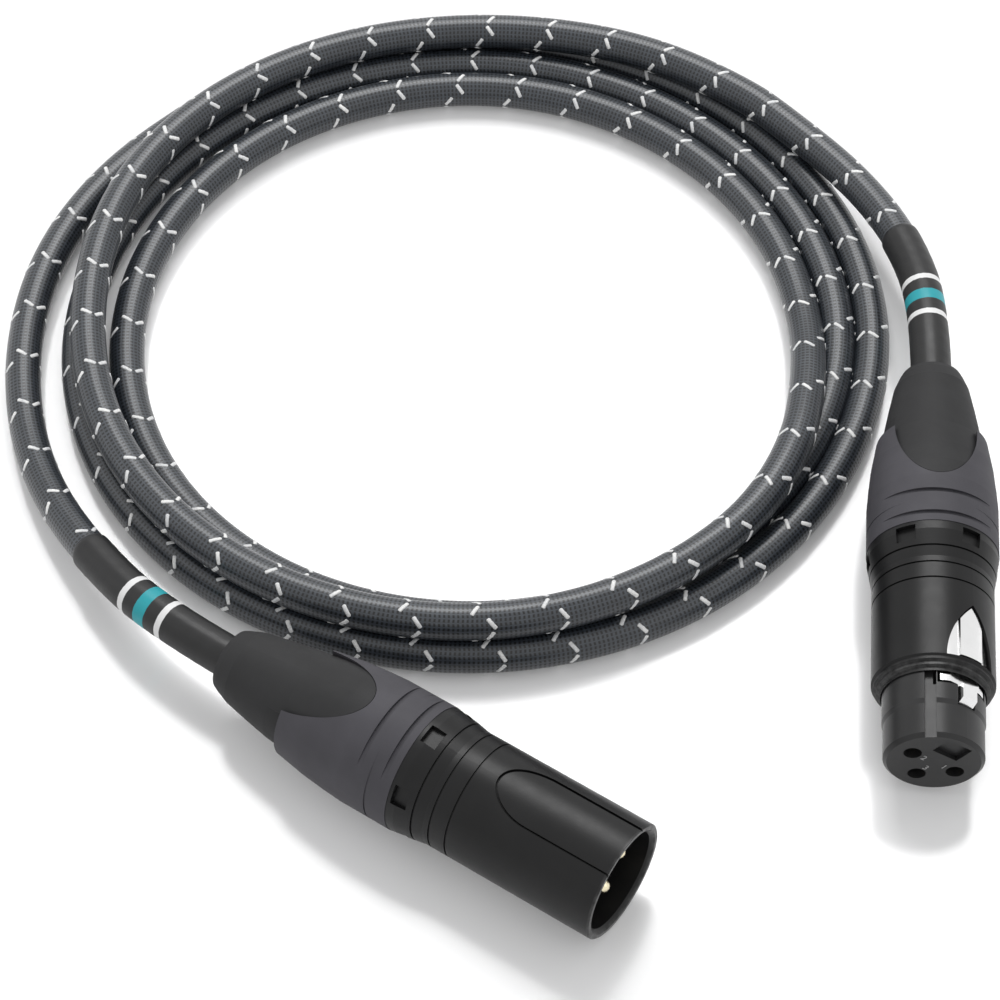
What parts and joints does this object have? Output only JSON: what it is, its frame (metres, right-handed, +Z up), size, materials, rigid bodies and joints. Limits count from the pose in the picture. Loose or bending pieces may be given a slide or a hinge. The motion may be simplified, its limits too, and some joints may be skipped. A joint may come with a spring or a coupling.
{
  "type": "xlr cable coil",
  "caption": "Coiled braided microphone cable with a three-contact male connector on one end and a latching three-contact female connector on the other.",
  "frame": {"origin": "on the floor, under the middle of the box round the two connectors", "axes": "+X along the male connector's axis, out of its mouth; +Z up"},
  "size_m": [0.1928, 0.166, 0.0212],
  "materials": {
    "shell": "black satin plating",
    "insert": "satin black",
    "spring_steel": "satin",
    "chuck": "matte",
    "gland": "satin",
    "relief": "soft satin",
    "cable": "round braid",
    "sleeve": "satin shrink sleeve",
    "wire_red": "gloss",
    "wire_white": "gloss",
    "wire_bare": "bare copper strands",
    "contact": "pale gold plate",
    "latch": "polished"
  },
  "bodies": {
    "root": {"cable_coil": "cable", "cable_lead_female": "cable", "cable_lead_male": "cable", "female_bend_relief": "relief", "female_cable_end": "cable", "female_chuck": "chuck", "female_contact_1": "contact", "female_contact_2": "contact", "female_contact_3": "contact", "female_gland_nut": "gland", "female_ground_clip": "spring_steel", "female_insert": "insert", "female_latch_pin": "spring_steel", "female_latch_spring": "spring_steel", "female_shell": "shell", "female_sleeve": "sleeve", "female_wire_cold": "wire_white", "female_wire_hot": "wire_red", "female_wire_screen": "wire_bare", "male_bend_relief": "relief", "male_cable_end": "cable", "male_chuck": "chuck", "male_gland_nut": "gland", "male_ground_clip": "spring_steel", "male_insert": "insert", "male_pin_1": "contact", "male_pin_2": "contact", "male_pin_3": "contact", "male_shell": "shell", "male_sleeve": "sleeve", "male_wire_cold": "wire_white", "male_wire_hot": "wire_red", "male_wire_screen": "wire_bare"},
    "latch": {"female_latch": "latch"}
  },
  "joints": [
    {"name": "latch_press", "type": "hinge", "parent": "root", "child": "latch", "pos_m": [0.03726, 0.01695, 0.01504], "axis": [0.7174, 0.4253, -0.5517], "range_deg": [0, 4.5], "stiffness_Nm_per_rad": 0.02, "springref_deg": -8.59, "deforming": ["female_latch_spring"]}
  ]
}
